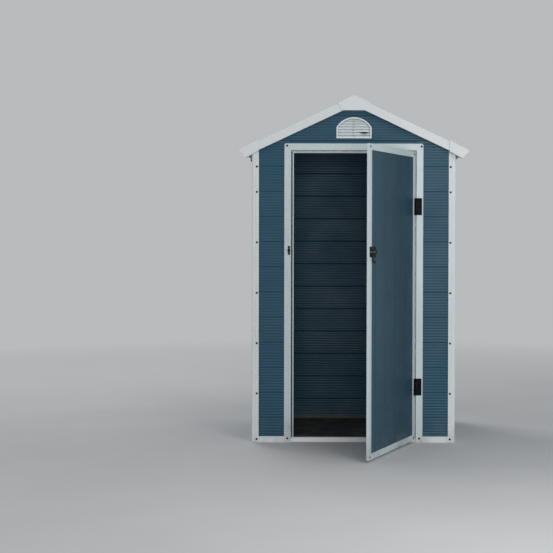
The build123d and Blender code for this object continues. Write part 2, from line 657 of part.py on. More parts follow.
with BuildPart() as latch_keeper:
    keeper_x = -(REBATE_X + KEEPER_INSET + KEEPER_EAR_R)
    slot_h = 2 * (BOLT_R + BOLT_FIT)
    loop_out = BOLT_STANDOFF + BOLT_R + BOLT_FIT + KEEPER_LOOP_T
    with BuildSketch(Plane.XZ.offset(FRAME_FACE)):
        with Locations([(keeper_x, LATCH_HEIGHT + side * KEEPER_EAR_PITCH / 2)
                        for side in (-1, 1)]):
            Circle(KEEPER_EAR_R)
        with Locations((keeper_x, LATCH_HEIGHT)):
            Rectangle(KEEPER_NECK, KEEPER_EAR_PITCH)
    extrude(amount=KEEPER_T)
    with BuildSketch(Plane.XZ.offset(FRAME_FACE)):
        with Locations((keeper_x, LATCH_HEIGHT)):
            Rectangle(KEEPER_LOOP_W, slot_h + 2 * KEEPER_LOOP_T)
    extrude(amount=loop_out)
    with BuildSketch(Plane.XZ.offset(FRAME_FACE + KEEPER_T)):
        with Locations((keeper_x, LATCH_HEIGHT)):
            Rectangle(KEEPER_LOOP_W, slot_h)
    extrude(amount=loop_out - KEEPER_T - KEEPER_LOOP_T, mode=Mode.SUBTRACT)

PIECES = {
    "floor_panel": floor_panel,
    "base_rail_left": base_rail_left,
    "base_rail_right": base_rail_right,
    "base_rail_back": base_rail_back,
    "base_rail_front_left": base_rail_front_left,
    "base_rail_front_right": base_rail_front_right,
    "door_sill": door_sill,
    "corner_post_front_left": corner_post_front_left,
    "corner_post_front_right": corner_post_front_right,
    "corner_post_back_left": corner_post_back_left,
    "corner_post_back_right": corner_post_back_right,
    "left_wall": left_wall,
    "right_wall": right_wall,
    "back_wall": back_wall,
    "front_wall_left": front_wall_left,
    "front_wall_right": front_wall_right,
    "front_gable": front_gable,
    "gable_vent": gable_vent,
    "door_frame_left": door_frame_left,
    "door_frame_right": door_frame_right,
    "door_frame_head": door_frame_head,
    "roof_panel_left": roof_panel_left,
    "roof_panel_right": roof_panel_right,
    "ridge_cap": ridge_cap,
    "gable_trim_front_left": gable_trim_front_left,
    "gable_trim_front_right": gable_trim_front_right,
    "gable_trim_back_left": gable_trim_back_left,
    "gable_trim_back_right": gable_trim_back_right,
    "ridge_end_cap_front": ridge_end_cap_front,
    "ridge_end_cap_back": ridge_end_cap_back,
    "eave_trim_left": eave_trim_left,
    "eave_trim_right": eave_trim_right,
    "eave_end_cap_front_left": eave_end_cap_front_left,
    "eave_end_cap_front_right": eave_end_cap_front_right,
    "eave_end_cap_back_left": eave_end_cap_back_left,
    "eave_end_cap_back_right": eave_end_cap_back_right,
    "door_panel": door_panel,
    "door_stile_free": door_stile_free,
    "door_stile_hinge": door_stile_hinge,
    "door_rail_top": door_rail_top,
    "door_rail_bottom": door_rail_bottom,
    "hinge_jamb_leaves": hinge_jamb_leaves,
    "hinge_door_leaves": hinge_door_leaves,
    "door_latch": door_latch,
    "latch_keeper": latch_keeper,
}

os.makedirs("parts", exist_ok=True)
for name, piece in PIECES.items():
    piece.part.label = name
    export_step(piece.part, f"parts/{name}.step")
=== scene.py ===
"""Looks of the resin garden shed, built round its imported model.

Metres, +Z up, the front faces -Y. The planked sheets get their fine ribs here, the trims and
the frame get their screws and seals, and every piece gets a procedural finish.
"""
import json
from math import ceil, cos, floor, pi, radians, sin

import bmesh
import bpy
from mathutils import Matrix, Vector


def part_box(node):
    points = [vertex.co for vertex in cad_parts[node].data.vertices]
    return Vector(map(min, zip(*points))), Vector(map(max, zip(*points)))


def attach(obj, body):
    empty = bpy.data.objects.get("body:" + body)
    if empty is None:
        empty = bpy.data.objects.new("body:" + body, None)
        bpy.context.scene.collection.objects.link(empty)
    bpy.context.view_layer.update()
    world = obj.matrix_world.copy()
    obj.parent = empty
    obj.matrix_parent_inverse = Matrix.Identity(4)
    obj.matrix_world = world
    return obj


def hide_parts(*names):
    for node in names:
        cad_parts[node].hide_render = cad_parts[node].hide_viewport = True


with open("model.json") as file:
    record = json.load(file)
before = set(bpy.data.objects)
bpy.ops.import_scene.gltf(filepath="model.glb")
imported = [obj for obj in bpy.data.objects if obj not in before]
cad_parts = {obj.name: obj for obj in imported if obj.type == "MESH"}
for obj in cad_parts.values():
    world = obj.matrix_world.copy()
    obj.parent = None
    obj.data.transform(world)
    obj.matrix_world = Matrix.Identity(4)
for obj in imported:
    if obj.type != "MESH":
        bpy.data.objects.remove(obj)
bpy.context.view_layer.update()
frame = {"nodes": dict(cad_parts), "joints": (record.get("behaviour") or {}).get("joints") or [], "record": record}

# The photograph's camera, in its 553 pixel square
IMAGE = 553
FOCAL = 1223.8  # pixels
MIDDLE = (341.0, 256.9)  # where the camera's axis meets the picture
CAMERA = (-0.085, -7.542, 1.206)
LOOKS_DOWN = radians(1.01)
TURNED_RIGHT = radians(0.09)
LEFT_RAISED = radians(0.146)
SENSOR = 36.0

# Planks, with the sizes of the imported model
PLANK = 0.1465
GABLE_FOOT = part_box("front_wall_right")[1].z  # a joint, as the gable starts on one
FIRST_JOINT = GABLE_FOOT % PLANK
DOOR_JOINT = 0.2417  # from the leaf's free edge
RIBS = 9
RIB = PLANK / RIBS
RIB_HALF = 0.0042  # half the width of the groove between two ribs
RIB_DEPTH = 0.0011
JOINT = (0.0040, 0.0019)  # the groove between two planks: half its width, and its depth
DEEP_JOINT = (0.0040, 0.0027)  # on the sides and the back, which get softer light
DOOR_SEAM = (0.0058, 0.0045)  # on the door
GROOVE_STEPS = 6
PITCH = radians(25.2)  # of the roof
RIDGE_SPARE = 0.03  # a roof sheet is made this far past the ridge, then cut there
CUT_SPARE = 0.02  # a cutter reaches this far past what it cuts

# Gable vent
VENT_FOOT_UP = 0.003  # its border starts this far over the solid's foot
VENT_SIDE = 0.067  # from the solid's foot up to where the arch starts
VENT_STEPS = 24
VENT_FRAME = 0.0085  # width of the border
VENT_ROUND = 0.0014  # of its front edges
VENT_ROUND_MIDDLE = 0.3  # how far in the round's middle lies, as a share of it
VENT_INSET = 0.0065  # from the border's outer edge to the gable's hole
VENT_RIB = 0.003
SLAT_FIRST = 0.0078  # the lowest slat's lip, over the solid's foot
SLAT_PITCH = 0.0163
SLAT_T = 0.0024
SLAT_LEAN = radians(47.5)
SLAT_DEPTH = 0.0150  # through the gable
SLAT_LIP_STEPS = 6
SLAT_LAP = 0.0005  # the slats reach this far into the border
SLAT_PROUD = 0.003  # the most that a slat stands out of the gable's face
TWISTED_SLAT = 1  # counted from the lowest
TWIST = radians(25)
TWIST_MIDDLE = 0.058  # from the vent's middle
TWIST_HALF = 0.043
TWIST_STEPS = 20

# Seal in the frame's stop, in from the frame's outer edge and back from its face
FLANGE_W = 0.039
STOP_BACK = 0.021
SEAL_W = 0.008
SEAL_D = 0.004
SEAL_PROUD = 0.0032
HINGE_SEAL_PROUD = 0.0052
SEAL_PLAY = 0.0003  # all round, in its groove
SEAL_STEPS = 10

# Screws
SCREW_R = 0.0060
HINGE_SCREW_R = 0.0036
SMALL_SCREW_R = 0.0026
SCREW_H = 0.0018
SCREW_SIDES = 24
SCREW_RINGS = ((1.0, 0.0), (1.0, 0.35), (0.94, 0.66), (0.82, 0.88), (0.68, 1.0))  # radii, heights
CROSS_WIDTH = 0.16  # half the width of the recess's arms, in radii of the head
CROSS_CORNER = radians(15)  # from an arm's middle line to its outer corner
CROSS_REACH = CROSS_WIDTH / sin(CROSS_CORNER) * cos(CROSS_CORNER)
CROSS_DEPTH = 0.0012
CROSS_TAPER = 0.9  # the recess's floor, as a share of its mouth
SCREW_TURN = 0.7  # from one screw's recess to the next one's, in radians
POST_SCREW_JOINTS = (1, 3, 5, 7, 9, 10)
POST_SCREW_UNDER = 0.0035  # under the joint
POST_SCREW_IN = 0.029  # from the post's outer edge
POST_FOOT_SCREW_H = 0.019
FRAME_SCREW_IN = {-1: (0.0155, 0.0105), 1: (0.0100, 0.0140)}  # side: in from it, under the top
FRAME_FOOT_SCREW_IN = 0.0195
FRAME_FOOT_SCREW_H = 0.0235
LEAF_SCREW_IN = 0.015
HINGE_H = 0.098
HINGE_PLATE = 0.0025
HINGE_SCREW_ROWS = (-0.036, 0.0, 0.036)
HINGE_EDGE = 0.0058  # from the pin to the nearer edge of a plate
LATCH_PLATE = (0.084, 0.056)
LATCH_PLATE_T = 0.0025
LATCH_SCREW_IN = (0.008, 0.0065)  # from the plate's sides, and its ends
KEEPER_EAR_R = 0.007
KEEPER_T = 0.0025
BOLT_STANDOFF = 0.008
BOLT_R = 0.0045
PLATED_REACH = 1.03  # the plating shows this far from the bolt's axis, in radii

HINGE = frame["joints"][0]
PIN = Vector(HINGE["pos_m"])
AJAR = radians(-HINGE["range_deg"][0])


def leaf_matrix():
    """From the closed door's place to the place where it stands ajar."""
    spot = Vector((PIN.x, PIN.y, 0))
    return Matrix.Translation(spot) @ Matrix.Rotation(AJAR, 4, "Z") @ Matrix.Translation(-spot)


LEAF = leaf_matrix()


def leaf_box(node):
    """Lowest and highest corner of a door node, with the door swung shut."""
    shut = LEAF.inverted()
    points = [shut @ v.co for v in frame["nodes"][node].data.vertices]
    low = Vector([min(p[k] for p in points) for k in range(3)])
    high = Vector([max(p[k] for p in points) for k in range(3)])
    return low, high


def bolt_axis():
    """A point on the latch's bolt and the bolt's direction, with the door as it stands."""
    top = leaf_box("door_latch")[1].z
    point = Vector((0, leaf_box("door_stile_free")[0].y - BOLT_STANDOFF, top - LATCH_PLATE[1] / 2))
    return LEAF @ point, LEAF.to_3x3() @ Vector((1, 0, 0))


# Materials
class Nodes:
    """Adds the nodes of one material and links them."""

    def __init__(self, name):
        self.material = bpy.data.materials.new(name)
        self.material.use_nodes = True
        self.tree = self.material.node_tree
        self.shader = self.tree.nodes["Principled BSDF"]
        self.place = self.add("ShaderNodeTexCoord").outputs["Object"]

    def add(self, kind, inputs=None, **settings):
        made = self.tree.nodes.new(kind)
        for key, value in settings.items():
            setattr(made, key, value)
        for key, value in (inputs or {}).items():
            if isinstance(value, bpy.types.NodeSocket):
                self.tree.links.new(value, made.inputs[key])
            else:
                made.inputs[key].default_value = value
        return made

    def link(self, source, target):
        self.tree.links.new(source, target)

    def noise(self, scale, detail=3.0, stretch=None):
        place = self.place
        if stretch:
            place = self.add("ShaderNodeMapping", {"Vector": place, "Scale": stretch}).outputs[0]
        made = self.add("ShaderNodeTexNoise", {"Vector": place, "Scale": scale, "Detail": detail})
        return made.outputs["Fac"]

    def spread(self, value, low=0.0, high=1.0, start=0.3, end=0.7):
        """The value between start and end, spread over low to high."""
        made = self.add("ShaderNodeMapRange", {"Value": value, "From Min": start, "From Max": end,
                                               "To Min": low, "To Max": high})
        return made.outputs["Result"]

    def mixed(self, share, first, second, blend="MIX"):
        made = self.add("ShaderNodeMix", data_type="RGBA", blend_type=blend)
        for socket, value in ((made.inputs[0], share), (made.inputs[6], first),
                              (made.inputs[7], second)):
            if isinstance(value, bpy.types.NodeSocket):
                self.link(value, socket)
            else:
                socket.default_value = value
        return made.outputs[2]

    def math(self, operation, *values):
        return self.add("ShaderNodeMath", dict(enumerate(values)), operation=operation).outputs[0]

    def product(self, first, second):
        return self.math("MULTIPLY", first, second)

    def within(self, half_sizes):
        """1 where the place lies inside a rectangle round the middle, otherwise 0."""
        place = self.add("ShaderNodeSeparateXYZ", {0: self.place})
        share = 1.0
        for axis, half in zip("XY", half_sizes):
            far = self.math("ABSOLUTE", place.outputs[axis])
            share = self.product(self.math("LESS_THAN", far, half), share)
        return share

    def along(self, point, direction):
        """Distance from a point along a direction."""
        away = self.add("ShaderNodeVectorMath", {0: self.place, 1: point}, operation="SUBTRACT")
        return self.add("ShaderNodeVectorMath", {0: away.outputs[0], 1: direction},
                        operation="DOT_PRODUCT").outputs["Value"]

    def near_line(self, point, direction, radius):
        """1 within a radius of a line, otherwise 0."""
        away = self.add("ShaderNodeVectorMath", {0: self.place, 1: point}, operation="SUBTRACT")
        across = self.add("ShaderNodeVectorMath", {0: away.outputs[0], 1: direction},
                          operation="CROSS_PRODUCT")
        far = self.add("ShaderNodeVectorMath", {0: across.outputs[0]}, operation="LENGTH")
        return self.math("LESS_THAN", far.outputs["Value"], radius)

    def bump(self, height, depth, strength, normal=None):
        inputs = {"Height": height, "Distance": depth, "Strength": strength}
        if normal is not None:
            inputs["Normal"] = normal
        return self.add("ShaderNodeBump", inputs).outputs["Normal"]


def shade(colour, factor):
    """A colour times a factor, with its alpha."""
    return tuple(min(1.0, c * factor) for c in colour[:3]) + (1.0,)


LOW_SPLASH_COLOUR = (0.22, 0.20, 0.17, 1.0)
# Painted shade of the unlit inside of the shed: almost black.
INSIDE_SHADE = (0.055, 0.050, 0.042, 1.0)
INSIDE_SHADE_SHARE = 0.97
LOW_SPLASH_TOP = 0.16  # the splash marks end about this high
PALER = (1.45, 1.30, 1.22, 1.0)  # a paler colour, as a share of the base one
RAYS = 4  # for corners and rounded edges

# Resin. Clouds, splashes and patches are noises: a scale, or a scale and a detail.
CLOUDS = (2.2, 4.0)
SPLASHES = (9.0, 5.0)
SPLASH_EDGE = (0.42, 0.72)  # where in its noise a splash starts, and where it is full
PATCHES = (6.0, 4.0)
PATCH_ROUGH = (-0.06, 0.07)  # added to the roughness
STREAK_SHARE = 0.35
STREAK_PALER = 1.8
WAVE_DEPTH, WAVE_STRENGTH = 0.0006, 0.25
GRAIN_STRENGTH = 0.6
RESIN_IOR = 1.46
CORNER_SHADE_EDGE = (0.25, 0.8)  # how much open sky is left where a crevice is full, and ends
CORNER_SHADE_TONE = 0.4

# Coated metal and rubber
METAL_CLOUDS = (60.0, 4.0)
RUBBED_SPOTS = (160.0, 5.0)
RUBBED_EDGE = (0.66, 0.78)
RUBBED_SHARE = 0.35
RUBBED_PALER = 6.0
METAL_PATCHES = 90.0
METAL_ROUGH = (0.42, 0.60)
PEEL = (900.0, 2.0)
PEEL_DEPTH, PEEL_STRENGTH = 0.00012, 0.5
METAL_ROUNDING = 0.0008
COAT_GLOSS = 0.06
ZINC_DARK = (0.14, 0.145, 0.15, 1.0)
ZINC_PALE = (0.26, 0.27, 0.28, 1.0)
RUBBER_CLOUDS = 40.0
RUBBER_PATCHES = 120.0
RUBBER_ROUGH = (0.55, 0.75)
RUBBER_GRAIN = (500.0, 2.0)
RUBBER_DEPTH, RUBBER_STRENGTH = 0.0002, 0.5


def resin(name, colour, rough, streak, grain=0.00025, vary=0.10, low_splash=0.25, rounding=0.0,
          corner_shade=0.0, reach=0.012, grain_scale=700.0, gloss=0.5, inside=None, paler_ramp=None):
    """Resin: uneven colour, streaks along the extrusion, darker splash marks low down and a fine grain.

    corner_shade is how much painted shade darkens corners, and reach how far out of them.
    inside is the half width and depth of the shed within which the colour is painted almost
    black, as painted shade of the unlit inside. paler_ramp is a point, a direction and two
    distances along it, between which the colour turns paler.
    """
    made = Nodes(name)
    cloud = made.spread(made.noise(*CLOUDS))
    streaks = made.spread(made.noise(1.0, stretch=streak))
    tone = made.mixed(cloud, shade(colour, 1 - vary), shade(colour, 1 + vary))
    tone = made.mixed(made.product(streaks, STREAK_SHARE), tone,
                      shade(colour, 1 + STREAK_PALER * vary))
    if paler_ramp:
        point, direction, start, end = paler_ramp
        pale = made.spread(made.along(point, direction), start=start, end=end)
        tone = made.mixed(pale, tone, made.mixed(1.0, tone, PALER, "MULTIPLY"))
    # Darker splash marks towards the bottom.
    height = made.add("ShaderNodeSeparateXYZ", {0: made.place}).outputs["Z"]
    low = made.spread(height, 1.0, 0.0, start=0.0, end=LOW_SPLASH_TOP)
    splash = made.spread(made.noise(*SPLASHES), 0.0, 1.0, *SPLASH_EDGE)
    tone = made.mixed(made.product(made.product(low, splash), low_splash), tone, LOW_SPLASH_COLOUR)
    # Painted shade: inside the shed the colour turns almost black.
    if inside:
        tone = made.mixed(made.product(made.within(inside), INSIDE_SHADE_SHARE), tone, INSIDE_SHADE)
    # Painted shade: the colour turns to a darker copy of itself where little open sky reaches, in corners and
    # between parts.
    if corner_shade:
        open_sky = made.add("ShaderNodeAmbientOcclusion", {"Distance": reach}, samples=RAYS,
                            only_local=False).outputs["AO"]
        hidden = made.spread(open_sky, 1.0, 0.0, *CORNER_SHADE_EDGE)
        tone = made.mixed(made.product(hidden, corner_shade), tone, shade(colour, CORNER_SHADE_TONE))
    made.link(tone, made.shader.inputs["Base Color"])
    patches = made.spread(made.noise(*PATCHES), *(rough + more for more in PATCH_ROUGH))
    made.link(patches, made.shader.inputs["Roughness"])
    normal = None
    if rounding:
        normal = made.add("ShaderNodeBevel", {"Radius": rounding}, samples=RAYS).outputs["Normal"]
    waves = made.bump(made.noise(1.0, 2.0, streak), WAVE_DEPTH, WAVE_STRENGTH, normal)
    normal = made.bump(made.noise(grain_scale, 2.0), grain, GRAIN_STRENGTH, waves)
    made.link(normal, made.shader.inputs["Normal"])
    made.shader.inputs["IOR"].default_value = RESIN_IOR
    made.shader.inputs["Specular IOR Level"].default_value = gloss
    return made.material


def coated_metal(name, colour, bare=None):
    """Black powder coat over steel, with the fine peel of the coat and rubbed spots.

    bare is a point on the axis of a plated bar, its direction and its radius.
    """
    made = Nodes(name)
    cloud = made.spread(made.noise(*METAL_CLOUDS))
    tone = made.mixed(cloud, shade(colour, 0.8), shade(colour, 1.6))
    rubbed = made.spread(made.noise(*RUBBED_SPOTS), 0.0, RUBBED_SHARE, *RUBBED_EDGE)
    tone = made.mixed(rubbed, tone, shade(colour, RUBBED_PALER))
    if bare:
        plated = made.near_line(*bare)
        tone = made.mixed(plated, tone, made.mixed(cloud, ZINC_DARK, ZINC_PALE))
        made.link(plated, made.shader.inputs["Metallic"])
    made.link(tone, made.shader.inputs["Base Color"])
    patches = made.spread(made.noise(METAL_PATCHES), *METAL_ROUGH)
    made.link(patches, made.shader.inputs["Roughness"])
    made.shader.inputs["Specular IOR Level"].default_value = COAT_GLOSS
    edge = made.add("ShaderNodeBevel", {"Radius": METAL_ROUNDING}, samples=RAYS).outputs["Normal"]
    normal = made.bump(made.noise(*PEEL), PEEL_DEPTH, PEEL_STRENGTH, edge)
    made.link(normal, made.shader.inputs["Normal"])
    return made.material


def rubber(name, colour):
    """Soft seal with a dull, dusty skin."""
    made = Nodes(name)
    cloud = made.spread(made.noise(RUBBER_CLOUDS))
    tone = made.mixed(cloud, shade(colour, 0.8), shade(colour, 1.25))
    made.link(tone, made.shader.inputs["Base Color"])
    patches = made.spread(made.noise(RUBBER_PATCHES), *RUBBER_ROUGH)
    made.link(patches, made.shader.inputs["Roughness"])
    normal = made.bump(made.noise(*RUBBER_GRAIN), RUBBER_DEPTH, RUBBER_STRENGTH)
    made.link(normal, made.shader.inputs["Normal"])
    return made.material


BLUE = (0.010, 0.063, 0.105)
# Painted shade: a darker, greyer copy of the walls' blue, offsetting the stronger lamp light on the open door.
DOOR_SHADED_BLUE = (0.013, 0.047, 0.073)
WHITE = (0.65, 0.675, 0.685)
FRAME_WHITE = (0.50, 0.575, 0.59)
# Partly the vent's own bluish white, partly painted light: brighter than the trims' white, since the leaning slats
# get less lamp light.
VENT_TINTED_LIT_WHITE = (0.71, 0.765, 0.785)
# Painted light: a brighter copy of the white, for the sill that the open leaf shades from the lamps.
SILL_LIT_WHITE = (0.78, 0.80, 0.81)
GREY = (0.25, 0.26, 0.27)
FLOOR = (0.050, 0.046, 0.042)
BLACK = (0.0035, 0.0035, 0.005)
LATCH_GREY = (0.016, 0.018, 0.022)
# Partly a dark rubber seal, partly painted shade: as dark as the shadow in the left stop's slot.
SEAL_DARK_AND_SHADE = (0.075, 0.079, 0.083)
SEAL_PALE = (0.58, 0.62, 0.63)
DOOR_PALER_RAMP = (0.25, 0.62)  # the leaf turns paler between these distances from its pin
SHADED_INSIDE = (0.575, 0.4155)  # the half width and depth within which the base rails get painted shade, almost black

ALONG_LEVEL = (1.2, 1.2, 90.0)  # streaks run level, along the planks
ALONG_UPRIGHT = (90.0, 90.0, 1.2)
ALONG_SLOPE = (1.2, 90.0, 1.2)
EVEN = (8.0, 8.0, 8.0)

wall_blue = resin("wall_blue", BLUE, 0.40, ALONG_LEVEL, gloss=0.3, corner_shade=0.55, reach=0.03)
door_shaded_blue = resin("door_shaded_blue", DOOR_SHADED_BLUE, 0.34, ALONG_UPRIGHT, gloss=0.3, corner_shade=1.0,
                  paler_ramp=(PIN, LEAF.to_3x3() @ Vector((-1, 0, 0)), *DOOR_PALER_RAMP))
trim_white = resin("trim_white", WHITE, 0.48, ALONG_UPRIGHT, vary=0.04, low_splash=0.4, rounding=0.0012,
                   corner_shade=0.2, gloss=0.3)
frame_white = resin("frame_white", FRAME_WHITE, 0.38, ALONG_UPRIGHT, vary=0.04, low_splash=0.8,
                    rounding=0.0012, corner_shade=0.2)
rail_white = resin("rail_white", WHITE, 0.44, ALONG_LEVEL, vary=0.05, low_splash=0.5, rounding=0.0012,
                   corner_shade=0.2, inside=SHADED_INSIDE)
cap_white = resin("cap_white", WHITE, 0.50, EVEN, vary=0.04, low_splash=0.1, rounding=0.0016, gloss=0.3)
vent_tinted_lit_white = resin("vent_tinted_lit_white", VENT_TINTED_LIT_WHITE, 0.42, EVEN, vary=0.03, low_splash=0.0,
                   rounding=0.0006, corner_shade=0.9, reach=0.0095)
sill_lit_white = resin("sill_lit_white", SILL_LIT_WHITE, 0.40, ALONG_LEVEL, vary=0.03, low_splash=0.1,
                   rounding=0.0012)
roof_grey = resin("roof_grey", GREY, 0.50, ALONG_SLOPE, vary=0.12)
floor_dark = resin("floor_dark", FLOOR, 0.62, EVEN, grain=0.0006, vary=0.25, low_splash=0.6,
                   grain_scale=350.0)
metal_black = coated_metal("metal_black", BLACK)
latch_metal = coated_metal("latch_metal", LATCH_GREY, bolt_axis() + (BOLT_R * PLATED_REACH,))
seal_dark_and_shade = rubber("seal_dark_and_shade", SEAL_DARK_AND_SHADE)
seal_pale = rubber("seal_pale", SEAL_PALE)

SLOT_FINISH = {"blue_resin": wall_blue, "white_resin": trim_white, "roof_resin": roof_grey,
               "floor_resin": floor_dark, "black_metal": metal_black}
OWN_FINISH = {
    "ridge_end_cap": cap_white, "eave_end_cap": cap_white, "gable_vent": vent_tinted_lit_white,
    "door_frame": frame_white, "door_stile": frame_white, "door_rail": frame_white,
    "door_sill": sill_lit_white, "base_rail": rail_white, "door_latch": latch_metal,
}


def finish_cad_nodes():
    """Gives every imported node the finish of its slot."""
    for part in frame["record"]["subparts"]:
        node = frame["nodes"][part["node"]]
        finish = SLOT_FINISH[part["material_slot"]]
        for start, own in OWN_FINISH.items():
            if part["node"].startswith(start):
                finish = own
        node.data.materials.clear()
        node.data.materials.append(finish)


# Mesh helpers
def piece_from(bm, name, finish, body):
    """A finished object of the scene that rides on a body of the model."""
    bmesh.ops.recalc_face_normals(bm, faces=bm.faces)
    mesh = bpy.data.meshes.new(name)
    bm.to_mesh(mesh)
    bm.free()
    mesh.materials.append(finish)
    made = bpy.data.objects.new(name, mesh)
    bpy.context.scene.collection.objects.link(made)
    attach(made, body)
    return made


def smooth(piece, angle=35):
    """Smooth faces, with edges over an angle in degrees left sharp."""
    piece.data.shade_smooth()
    piece.data.set_sharp_from_angle(angle=radians(angle))


def close_tube(bm, rings, around=False):
    """Faces between rings of vertices, then over both ends or round to the first ring."""
    count = len(rings[0])
    for ring, after in zip(rings, rings[1:] + rings[:1] if around else rings[1:]):
        for k in range(count):
            bm.faces.new((ring[k], ring[(k + 1) % count], after[(k + 1) % count], after[k]))
    if not around:
        bm.faces.new(list(reversed(rings[0])))
        bm.faces.new(rings[-1])


def carved(piece, *cutters, operation="DIFFERENCE"):
    """Combines a piece with the cutters' shapes and keeps the result as its mesh."""
    for cutter in cutters:
        mesh = bpy.data.meshes.new("cutter")
        cutter.to_mesh(mesh)
        cutter.free()
        tool = bpy.data.objects.new("cutter", mesh)
        bpy.context.scene.collection.objects.link(tool)
        made = piece.modifiers.new("cut", "BOOLEAN")
        made.operation = operation
        made.solver = "EXACT"
        made.object = tool
        bpy.context.view_layer.update()
        result = bpy.data.meshes.new_from_object(
            piece.evaluated_get(bpy.context.evaluated_depsgraph_get()))
        if not result.polygons:
            raise RuntimeError(piece.name + " was lost when it was cut")
        piece.modifiers.clear()
        piece.data = result
        bpy.data.objects.remove(tool)


def box_mesh(low, high):
    """A box between two corners."""
    bm = bmesh.new()
    bmesh.ops.create_cube(bm, size=1.0)
    size = Vector(high) - Vector(low)
    bmesh.ops.transform(bm, matrix=Matrix.Translation((Vector(low) + Vector(high)) / 2)
                        @ Matrix.Diagonal(size.to_4d()), verts=bm.verts)
    return bm


def ribbed_line(start, end, anchor, joint):
    """Positions across a planked face, and how deep its grooves are there."""
    points = [(start, 0.0)]
    first, last = ceil((start - anchor) / RIB), floor((end - anchor) / RIB)
    for n in range(first, last + 1):
        half, depth = joint if n % RIBS == 0 else (RIB_HALF, RIB_DEPTH)
        middle = anchor + n * RIB
        if middle - half <= start or middle + half >= end:
            continue
        for step in range(GROOVE_STEPS + 1):
            share = 2 * step / GROOVE_STEPS - 1
            points.append((middle + share * half, depth * (1 + cos(pi * share)) / 2))
    points.append((end, 0.0))
    return points


def ribbed_sheet(span, across, face, back, anchor, place, joint=JOINT):
    """A sheet of planks as a closed mesh, ribbed on both faces.

    span is where the planks start and end, across is the sheet's extent over the planks,
    face and back are its two faces, and place turns (along, across, through) into a point.
    """
    line = ribbed_line(*across, anchor, joint)
    inward = 1 if back > face else -1
    section = [(v, face + inward * depth) for v, depth in line]
    section += [(v, back - inward * depth) for v, depth in reversed(line)]
    bm = bmesh.new()
    ends = [[bm.verts.new(place(u, v, w)) for v, w in section] for u in span]
    for k in range(len(section)):
        after = (k + 1) % len(section)
        bm.faces.new((ends[0][k], ends[0][after], ends[1][after], ends[1][k]))
    bm.faces.new(ends[0])
    bm.faces.new(ends[1])
    bmesh.ops.recalc_face_normals(bm, faces=bm.faces)
    return bm


def trim(bm, point, normal):
    """Cuts away what lies beyond a plane and closes the cut."""
    everything = bm.verts[:] + bm.edges[:] + bm.faces[:]
    cut = bmesh.ops.bisect_plane(bm, geom=everything, plane_co=point, plane_no=normal,
                                 clear_outer=True)
    edges = [g for g in cut["geom_cut"] if isinstance(g, bmesh.types.BMEdge)]
    bmesh.ops.holes_fill(bm, edges=edges, sides=0)


# Where (along, across, through) lies in a wall that faces front or back, and in a side wall
def front_point(u, v, w):
    return Vector((u, w, v))


def side_point(u, v, w):
    return Vector((w, u, v))


# Walls
def roof_planes():
    """The roof's underside, right and left, through the top of the back wall."""
    top = Vector((0, 0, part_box("back_wall")[1].z))
    return [(top, Vector((side * sin(PITCH), 0, cos(PITCH)))) for side in (1, -1)]


def wall_sheet(node, planes, place=front_point):
    """The ribbed sheet that takes a plain wall's place."""
    low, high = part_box(node)
    along, through = (0, 1) if place is front_point else (1, 0)
    outward = 1 if low[through] + high[through] > 0 else -1
    faces = (high[through], low[through]) if outward > 0 else (low[through], high[through])
    joint = DEEP_JOINT if place is side_point or outward > 0 else JOINT
    bm = ribbed_sheet((low[along], high[along]), (low.z, high.z), *faces, FIRST_JOINT, place,
                      joint)
    for point, normal in planes:
        trim(bm, point, normal)
    return bm


def planked_walls():
    planes = roof_planes()
    for node in ("left_wall", "right_wall", "back_wall", "front_wall_left", "front_wall_right"):
        place = side_point if node in ("left_wall", "right_wall") else front_point
        made = piece_from(wall_sheet(node, planes, place), node + "_planks", wall_blue, "shed")
        smooth(made)
        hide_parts(node)


# Gable vent
def vent_outline(inset):
    """The vent's outline in the front view, from its lower left corner round to the left."""
    low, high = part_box("gable_vent")
    half = (high.x - low.x) / 2 - inset
    foot, crown = low.z + VENT_FOOT_UP + inset, high.z - inset
    rise = crown - low.z - VENT_SIDE
    radius = (half * half + rise * rise) / (2 * rise)
    middle = crown - radius
    sweep = Vector((half, crown - rise - middle)).angle(Vector((0, 1)))
    turns = [sweep * (1 - 2 * k / VENT_STEPS) for k in range(VENT_STEPS + 1)]
    arch = [(radius * sin(t), middle + radius * cos(t)) for t in turns]
    return [(-half, foot), (half, foot)] + arch


def vent_prism(inset, front, back):
    """The vent's outline as a solid between two places in depth."""
    bm = bmesh.new()
    close_tube(bm, [[bm.verts.new((x, y, z)) for x, z in vent_outline(inset)]
                    for y in (front, back)])
    bmesh.ops.recalc_face_normals(bm, faces=bm.faces)
    return bm


def vent_border():
    """The border round the slats, rounded in front, with its collar through the gable."""
    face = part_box("front_gable")[0].y
    front, back = (corner.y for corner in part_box("gable_vent"))
    near = VENT_ROUND_MIDDLE * VENT_ROUND
    section = [(0, face), (0, front + VENT_ROUND), (near, front + near), (VENT_ROUND, front),
               (VENT_FRAME - VENT_ROUND, front), (VENT_FRAME - near, front + near),
               (VENT_FRAME, front + VENT_ROUND), (VENT_FRAME, back), (VENT_INSET, back),
               (VENT_INSET, face)]
    bm = bmesh.new()
    close_tube(bm, [[bm.verts.new((x, y, z)) for x, z in vent_outline(inset)]
                    for inset, y in section], around=True)
    made = piece_from(bm, "gable_vent_border", vent_tinted_lit_white, "shed")
    smooth(made, 30)
    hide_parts("gable_vent")


def slat_section(face, height, lean):
    """A slat's section: its lip at the gable's face, its root up and behind."""
    half = SLAT_T / 2
    run = SLAT_DEPTH / cos(SLAT_LEAN)
    points = [(run, -half)]
    for k in range(SLAT_LIP_STEPS + 1):
        turn = -pi / 2 - pi * k / SLAT_LIP_STEPS
        points.append((half + half * cos(turn), half * sin(turn)))
    points.append((run, half))
    return [(face + a * cos(lean) - b * sin(lean), height + a * sin(lean) + b * cos(lean))
            for a, b in points]


